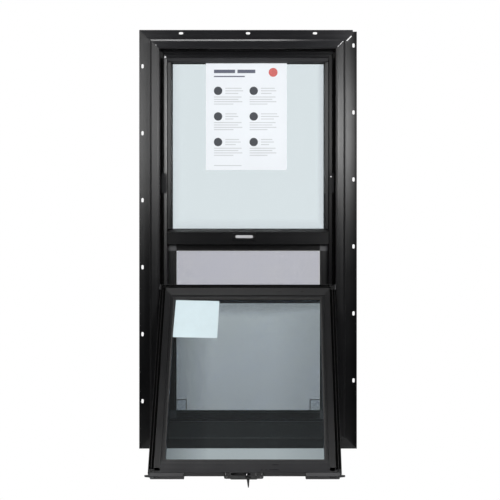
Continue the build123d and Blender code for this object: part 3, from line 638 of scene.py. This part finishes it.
def ink_discs(name, color, marks):
    """Thin discs on the paper, each by its middle and its radius as shares of the sheet's width."""
    bm = bmesh.new()
    turn = Matrix.Rotation(math.pi / 2, 4, "X")
    for across, down, radius in marks:
        middle = (sheet_low.x + across * sheet_w, sheet_low.y - INK / 2, sheet_high.z - down * sheet_h)
        reach = radius * sheet_w
        bmesh.ops.create_cone(bm, cap_ends=True, segments=32, radius1=reach, radius2=reach, depth=INK,
                              matrix=Matrix.Translation(middle) @ turn)
    ink = finish_material(name + "_ink", color, 0.6, 0.8, variation=0.25, patch=260.0, dust=0.0)
    return piece(name, bm, ink)


print("sheet:", round(sheet_w, 3), "by", round(sheet_h, 3))

# %% [markdown]
# The print is laid out in two columns of three cells. Each cell has a disc, three short lines
# beside it and four long ones below. All places are shares of the sheet, so the print would follow
# the sheet if that changed its size.

# %% Lay out the print
CELL_LEFT = 0.10
CELL_TOP = 0.22
CELL_ACROSS = 0.44
CELL_DOWN = 0.24
LINE = 0.008
TEXT_GREY = (0.52, 0.54, 0.56)
HEADING_GREY = (0.10, 0.11, 0.15)
cells = [(CELL_LEFT + CELL_ACROSS * (i % 2), CELL_TOP + CELL_DOWN * (i // 2)) for i in range(6)]
lines = []
for number, (left, top) in enumerate(cells):
    for k, width in enumerate((0.20, 0.22, 0.16)):
        lines.append((left + 0.14, top + 0.010 + 0.024 * k, width - 0.03 * (number % 3), LINE))
    for k, width in enumerate((0.34, 0.30, 0.35, 0.24)):
        lines.append((left, top + 0.092 + 0.022 * k, width - 0.02 * (number % 2), LINE))
discs = [(left + 0.05, top + 0.038, 0.052) for left, top in cells]
headings = [(0.10, 0.06, 0.26, 0.032), (0.39, 0.06, 0.22, 0.032), (0.10, 0.118, 0.38, 0.011)]
ink_discs("sheet_discs", (0.045, 0.05, 0.06), discs)
ink_discs("sheet_red_disc", (0.55, 0.12, 0.11), [(0.83, 0.085, 0.055)])
ink_marks("sheet_text_lines", TEXT_GREY, lines)
ink_marks("sheet_heading", HEADING_GREY, headings)
ink_marks("sheet_footer", (0.5, 0.52, 0.54), [(0.10, 0.955, 0.34, 0.007)])
print("marks:", len(lines) + len(discs) + len(headings) + 2)

# %% [markdown]
# ## Screws
#
# A screw could be a plain disc, since each is only two pixels wide. But its crossed recess is what
# makes it read as a screw close up, so the head is a low cone and the recess is painted shade: two
# dark bars just proud of it stand in for the shade in its hollow. The same helper serves the keeper,
# the lock, the stops and the corner of the frame.

# %% A screw with its recess
zinc_heads = bmesh.new()
black_heads = bmesh.new()
recess_shade_mesh = bmesh.new()
SLOT_WIDTH = 0.22
SLOT_PROUD = 0.1 * MM


def screw(heads, middle, out, radius, height):
    """Pan head on a surface point, looking out along a direction, with its crossed recess as painted shade.
    """
    out = Vector(out).normalized()
    turn = out.to_track_quat("Z", "Y").to_matrix().to_4x4()
    place = Matrix.Translation(Vector(middle) + out * height / 2) @ turn
    bmesh.ops.create_cone(heads, cap_ends=True, segments=20, radius1=radius, radius2=radius * 0.7,
                          depth=height, matrix=place)
    top = Matrix.Translation(Vector(middle) + out * height) @ turn
    for long, wide in ((1.0, SLOT_WIDTH), (SLOT_WIDTH, 1.0)):
        size = Matrix.Diagonal((radius * long, radius * wide, SLOT_PROUD, 1))
        bmesh.ops.create_cube(recess_shade_mesh, size=1.0, matrix=top @ size)


print("screw helper ready")

# %% [markdown]
# The screws of the keeper and of the left stop are black, and the rest are zinc. Heads of one kind
# are drawn into one bmesh, so all the zinc ones are one piece and all the black ones another.

# %% Drive the screws
LOCK_EAR = SASH_END + 6.6 * MM
KEEPER_SCREWS = (-42 * MM, 20 * MM)
LOCK_SCREWS = (-49 * MM, 43 * MM)
STOP_SCREW = 250.75 * MM
CORNER_SCREW = (-250 * MM, -13 * MM, 1166 * MM)
keeper_low, keeper_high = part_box("lock_keeper")
stop_low, stop_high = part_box("jamb_stops")
keeper_face = keeper_low.y + 1.2 * MM
keeper_mid = (keeper_low.z + keeper_high.z) / 2
indoors = Vector((0, -1, 0))
for x in KEEPER_SCREWS:
    screw(black_heads, (x, keeper_face, keeper_mid), indoors, 2.2 * MM, 1.0 * MM)
for x in LOCK_SCREWS:
    screw(zinc_heads, on_sash(x, LOCK_EAR, 0), sash_down, 3.1 * MM, 1.3 * MM)
for side, heads in ((-1, black_heads), (1, zinc_heads)):
    on_stop = (side * STOP_SCREW, stop_low.y + 1.0 * MM, stop_high.z - 10.5 * MM)
    screw(heads, on_stop, indoors, 2.4 * MM, 1.2 * MM)
screw(zinc_heads, CORNER_SCREW, indoors, 3.4 * MM, 1.4 * MM)
zinc = finish_material("zinc_screws", (0.80, 0.80, 0.82), 0.35, 0.5, FINE_GRAIN, metallic=0.7)
# The recess bars are near black as painted shade for the hollow of the recess.
recess = finish_material("painted_recess_shade", (0.01, 0.01, 0.01), 0.6, 0.8, dust=0.0)
piece("zinc_screw_heads", zinc_heads, zinc)
piece("black_screw_heads", black_heads, finishes["black_coat"])
piece("recess_shade_bars_piece", recess_shade_mesh, recess)
print("screws:", len(KEEPER_SCREWS) + len(LOCK_SCREWS) + 3)

# %% [markdown]
# ## Cords, pile and the bare mitre
#
# A rubber cord pressed into the groove of each screen bar holds the cloth. The bars already have
# the groove, so each cord is one round rod along it, ending short of the corner keys.

# %% Cords in the grooves of the screen
CORD = 1.55 * MM
screen_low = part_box("screen_bar_left")[0]
screen_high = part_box("screen_bar_right")[1]
top_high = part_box("screen_bar_top")[1]
bottom_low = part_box("screen_bar_bottom")[0]
groove_y = screen_low.y + 1.9 * MM
GROOVE_IN = 19.7 * MM
END_GAP = 6 * MM


def rod(bm, start, end, radius, segments=12):
    """Adds one round rod between two points."""
    start, end = Vector(start), Vector(end)
    turn = (end - start).to_track_quat("Z", "Y").to_matrix().to_4x4()
    matrix = Matrix.Translation((start + end) / 2) @ turn
    return bmesh.ops.create_cone(bm, cap_ends=True, segments=segments, radius1=radius, radius2=radius,
                                 depth=(end - start).length, matrix=matrix)["verts"]


cords = bmesh.new()
left, right = screen_low.x + GROOVE_IN, screen_high.x - GROOVE_IN
low, high = bottom_low.z + GROOVE_IN, top_high.z - GROOVE_IN
for z in (low, high):
    rod(cords, (left + END_GAP, groove_y, z), (right - END_GAP, groove_y, z), CORD)
for x in (left, right):
    rod(cords, (x, groove_y, low + END_GAP), (x, groove_y, high - END_GAP), CORD)
piece("screen_cords", cords, finishes["black_rubber"])
print("cord from", round(left, 3), "to", round(right, 3))

# %% [markdown]
# Two more small things need a rod or a box: the bright pin that the lock cam turns on, and the
# thickened rims of the two lift tabs, which show as a dark line on the clear plastic.

# %% The cam pin and the rims of the lift tabs
PIN_X = 5.4 * MM
PIN_INSIDE = -10.5 * MM
pin = bmesh.new()
pin_foot = on_sash(PIN_X, SASH_END + 3 * MM, PIN_INSIDE)
pin_end = on_sash(PIN_X, SASH_END + 7.2 * MM, PIN_INSIDE)
rod(pin, pin_foot, pin_end, 1.1 * MM)
piece("cam_pin", pin, zinc)
TAB_WIDTH = 31 * MM
RIM = 2.4 * MM
RIM_PROUD = 0.4 * MM
tabs_low, tabs_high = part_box("screen_lift_tabs")
rims = bmesh.new()
for side in (-1, 1):
    outer, inner = side * tabs_high.x, side * (tabs_high.x - TAB_WIDTH)
    first, last = min(outer, inner), max(outer, inner)
    edge = inner if side < 0 else inner + RIM
    slab(rims, (first, tabs_low.y - RIM_PROUD, tabs_high.z - RIM), (last, tabs_low.y, tabs_high.z))
    slab(rims, (edge - RIM, tabs_low.y - RIM_PROUD, tabs_low.z), (edge, tabs_low.y, tabs_high.z - RIM))
piece("tab_rims", rims, finishes["black_coat"])
print("tabs", round(tabs_low.z, 3), "to", round(tabs_high.z, 3))

# %% [markdown]
# Pile is a brush of short fibres. Thousands of separate hairs would be heavy, so a short block of
# bristles with uneven heights is built once and repeated along the strip. The heights come from a
# seeded generator, so every run gives the same brush.

# %% A brush of bristles
BLOCK = 10


def brush(name, start, along, up, across, width, height, pitch, length, seed):
    """A block of bristle blades, repeated along a strip."""
    chance = random.Random(seed)
    bm = bmesh.new()
    along, up, across = Vector(along), Vector(up), Vector(across)
    turn = Matrix((across, along, up)).transposed().to_4x4()
    for i in range(BLOCK):
        tall = height * chance.uniform(0.7, 1.0)
        lean = chance.uniform(-0.3, 0.3) * pitch
        middle = Vector(start) + along * (pitch * (i + 0.5) + lean) + up * tall / 2
        size = Matrix.Diagonal((width, pitch * 0.55, tall, 1))
        bmesh.ops.create_cube(bm, size=1.0, matrix=Matrix.Translation(middle) @ turn @ size)
    bristles = piece(name, bm, finishes["black_pile"])
    return repeat(bristles, along * pitch * BLOCK, int(length / (pitch * BLOCK)))


print("brush of", BLOCK, "blades")

# %% [markdown]
# One strip runs down each jamb. The sash has two in the ledge round its edge, along the rail at its
# pivots and along both stiles, and they make that ledge look black. Each of the two has its own
# distance from the edge and its own width.

# %% Bristles on the jambs and the sash
PILE_PITCH = 1.1 * MM
LEDGE_INSIDE = -4.0 * MM
RAIL_PILE = 516 * MM
STILE_PILE = 566 * MM
SASH_ROWS = ((4.3 * MM, 6.0 * MM), (12.2 * MM, 6.8 * MM))
JAMB_PILE_X = 260 * MM
across_window = (1, 0, 0)
sash_out = -sash_in
strips_low, strips_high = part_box("jamb_weatherstrips")
strip_length = strips_high.z - strips_low.z
for side, side_name in ((-1, "left"), (1, "right")):
    start = (side * JAMB_PILE_X, strips_low.y, strips_low.z)
    brush("pile_" + side_name, start, (0, 0, 1), indoors, across_window, 4.4 * MM, 2.4 * MM, 1.2 * MM,
          strip_length, 7 + side)
for number, (inset, width) in enumerate(SASH_ROWS):
    start = on_sash(-RAIL_PILE / 2, SASH_START + inset, LEDGE_INSIDE)
    brush("sash_pile_low_" + str(number + 1), start, across_window, sash_out, sash_down, width, 4.4 * MM,
          PILE_PITCH, RAIL_PILE, 20 + number)
    for side, side_name in ((-1, "left_"), (1, "right_")):
        start = on_sash(side * (SASH_HALF - inset), 6 * MM, LEDGE_INSIDE)
        brush("sash_pile_" + side_name + str(number + 1), start, sash_down, sash_out, across_window,
              width * 0.95, 2.9 * MM, PILE_PITCH, STILE_PILE, 30 + number)
print("bristles repeat over", round(strip_length, 3))

# %% [markdown]
# Where the right jamb meets the head, the saw has left a line of bare metal along the mitre, and a
# shorter one shows at the left. Each is a hair's breadth of raised metal at forty five degrees.

# %% Bare metal along the mitres
BODY_HALF = 292 * MM
BODY_TOP = 1213 * MM
front_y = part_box("frame_head")[0].y


def mitre_line(bm, side, near, far, width):
    """Thin bar on the face along a mitre, between two distances from the outer corner."""
    middle = (near + far) / 2
    length = (far - near) * math.sqrt(2)
    place = Matrix.Translation((side * (BODY_HALF - middle), front_y - 0.05 * MM, BODY_TOP - middle))
    turn = Matrix.Rotation(math.radians(45) * side, 4, "Y")
    size = Matrix.Diagonal((width, 0.1 * MM, length, 1))
    bmesh.ops.create_cube(bm, size=1.0, matrix=place @ turn @ size)


bare = bmesh.new()
mitre_line(bare, 1, 6.5 * MM, 22.5 * MM, 1.1 * MM)
mitre_line(bare, -1, 17 * MM, 20 * MM, 0.8 * MM)
bare_metal = finish_material("bare_aluminium", (0.75, 0.75, 0.76), 0.35, 0.55, metallic=0.3)
piece("bare_mitre_lines", bare, bare_metal)
print("mitre at", round(BODY_TOP, 3))

# %% [markdown]
# ## Stage
#
# The window hangs before a white floor and a white wall. Both show as plain white to the camera, and
# as pale paint to every ray that bounces off something, so that they brighten nothing by themselves.
# The wall is white in gloss too. Seen through glass both are greyer with painted shade, the floor the
# more so near the window, and the shade fades evenly between two places on the floor and between two
# heights on the wall.

# %% Paint of the stage
STAGE_GREY = (0.45, 0.45, 0.45)


def stage_material(name, gloss, axis, low, high, near, far):
    """White to the camera, near to far through glass along one axis as painted shade, and pale paint
    otherwise.
    """
    material = bpy.data.materials.new(name)
    material.use_nodes = True
    tree = material.node_tree
    tree.nodes.clear()
    out = add(tree, "ShaderNodeOutputMaterial")
    rays = add(tree, "ShaderNodeLightPath")
    paint = add(tree, "ShaderNodeBsdfDiffuse")
    paint.inputs["Color"].default_value = (*STAGE_GREY, 1)
    white = add(tree, "ShaderNodeEmission")
    # The emission seen through glass is painted shade, graded between two places along one axis.
    dim = add(tree, "ShaderNodeEmission")
    along = add(tree, "ShaderNodeSeparateXYZ")
    tree.links.new(add(tree, "ShaderNodeTexCoord").outputs["Object"], along.inputs[0])
    tree.links.new(spread(tree, along.outputs[axis], low, high, near, far), dim.inputs["Strength"])
    in_gloss = math_node(tree, "MULTIPLY", rays.outputs["Is Glossy Ray"], gloss)
    shown = math_node(tree, "MAXIMUM", rays.outputs["Is Camera Ray"], in_gloss)
    first = add(tree, "ShaderNodeMixShader")
    tree.links.new(shown, first.inputs[0])
    tree.links.new(paint.outputs[0], first.inputs[1])
    tree.links.new(white.outputs[0], first.inputs[2])
    second = add(tree, "ShaderNodeMixShader")
    tree.links.new(rays.outputs["Is Transmission Ray"], second.inputs[0])
    tree.links.new(first.outputs[0], second.inputs[1])
    tree.links.new(dim.outputs[0], second.inputs[2])
    tree.links.new(second.outputs[0], out.inputs[0])
    return material


floor_paint = stage_material("floor_paint", 0.0, "Y", 2.5, 3.7, 0.50, 0.80)
wall_paint = stage_material("wall_paint", 1.0, "Z", -0.5, 0.1, 0.80, 1.0)
print("paints:", floor_paint.name, wall_paint.name)

# %% [markdown]
# Floor and wall are two large flat sheets. A curved sweep would hide the line between them, but
# plain white hides it as well.

# %% Floor and backdrop
def stage_sheet(name, centre, size, turn, paint):
    """One large flat sheet of the set."""
    bm = bmesh.new()
    bmesh.ops.create_grid(bm, x_segments=1, y_segments=1, size=0.5)
    bmesh.ops.scale(bm, vec=(size[0], size[1], 1), verts=bm.verts)
    bmesh.ops.rotate(bm, matrix=Matrix.Rotation(turn, 3, "X"), verts=bm.verts)
    bmesh.ops.translate(bm, vec=centre, verts=bm.verts)
    mesh = bpy.data.meshes.new(name)
    bm.to_mesh(mesh)
    bm.free()
    mesh.materials.append(paint)
    sheet = bpy.data.objects.new(name, mesh)
    bpy.context.scene.collection.objects.link(sheet)
    return sheet


FLOOR_Z = -0.5
stage_sheet("floor", (0, 0.9, FLOOR_Z), (14.0, 6.4), 0.0, floor_paint)
stage_sheet("backdrop", (0, 4.1, 3.5), (14.0, 8.0), math.pi / 2, wall_paint)
print("stage at", FLOOR_Z)

# %% [markdown]
# ## Light
#
# Black satin shows mostly what it reflects, so each lamp is placed where a bar mirrors it. Two soft
# boxes beside the camera lay the long streaks on the upper jambs and leave the lower ones dark. Two
# panels further out catch the sides of the bars, and two high boxes and the top lamps give paper
# its white. The ceiling panel is what the face of the tilted sash mirrors, and makes it grey.

# %% Lamps and world
def lamp(name, place, aim, size, power):
    """One rectangular soft lamp that looks at a point."""
    data = bpy.data.lights.new(name, "AREA")
    data.shape = "RECTANGLE"
    data.size, data.size_y = size
    data.energy = power
    thing = bpy.data.objects.new(name, data)
    thing.location = place
    thing.rotation_euler = (Vector(aim) - Vector(place)).to_track_quat("-Z", "Y").to_euler()
    bpy.context.scene.collection.objects.link(thing)
    return thing


lamp("right_soft_box", (1.115, -3.0, 1.29), (0.3, 0, 1.2), (0.73, 0.50), 44)
lamp("left_soft_box", (-1.225, -3.0, 1.36), (-0.3, 0, 1.3), (0.75, 0.90), 21)
lamp("right_side_panel", (2.4, -1.25, 1.35), (-0.2, 0, 1.2), (1.2, 0.8), 12.7)
lamp("left_side_panel", (-2.4, -1.25, 1.35), (0.2, 0, 1.2), (1.2, 0.8), 12.7)
lamp("right_high_box", (1.9, -2.7, 2.7), (0, 0, 0.6), (0.8, 0.8), 30)
lamp("left_high_box", (-1.9, -2.7, 2.7), (0, 0, 0.6), (0.8, 0.8), 30)
lamp("ceiling_panel", (0, -1.9, 3.25), (0, -1.9, 0), (3.4, 1.6), 2.3)
lamp("over_lamp", (-0.1, -0.8, 3.2), (-0.1, -0.8, 0), (1.4, 0.6), 7)
lamp("top_lamp", (-0.6, 0.2, 3.2), (-0.6, 0.2, 0), (1.5, 1.0), 40)
world = bpy.data.worlds.new("studio_air")
bpy.context.scene.world = world
world.use_nodes = True
air = world.node_tree.nodes["Background"]
air.inputs["Color"].default_value = (0.9, 0.95, 1.0, 1)
air.inputs["Strength"].default_value = 0.03
print("lamps:", 9)

# %% [markdown]
# ## Camera
#
# The photograph was taken level, about three metres away, a hand's width right of the middle. A
# camera could be turned towards the window, but that would make its upright edges converge. A
# small sideways shift keeps them parallel, as they are in the photograph.

# %% Camera
IMAGE_PX = 500
FOCAL_PX = 1027.3
SHIFT_PX = 23.4
SENSOR = 36.0
CAMERA_RIGHT = 0.077
CAMERA_AWAY = 3.116
CAMERA_HIGH = 0.5835
data = bpy.data.cameras.new("camera")
data.sensor_width = SENSOR
data.lens = FOCAL_PX * SENSOR / IMAGE_PX
data.shift_x = -SHIFT_PX / IMAGE_PX
camera = bpy.data.objects.new("camera", data)
camera.location = (CAMERA_RIGHT, -CAMERA_AWAY, CAMERA_HIGH)
camera.rotation_euler = (math.pi / 2, 0, 0)
bpy.context.scene.collection.objects.link(camera)
bpy.context.scene.camera = camera
bpy.context.scene.view_settings.view_transform = "Standard"
print("lens:", round(data.lens, 1))
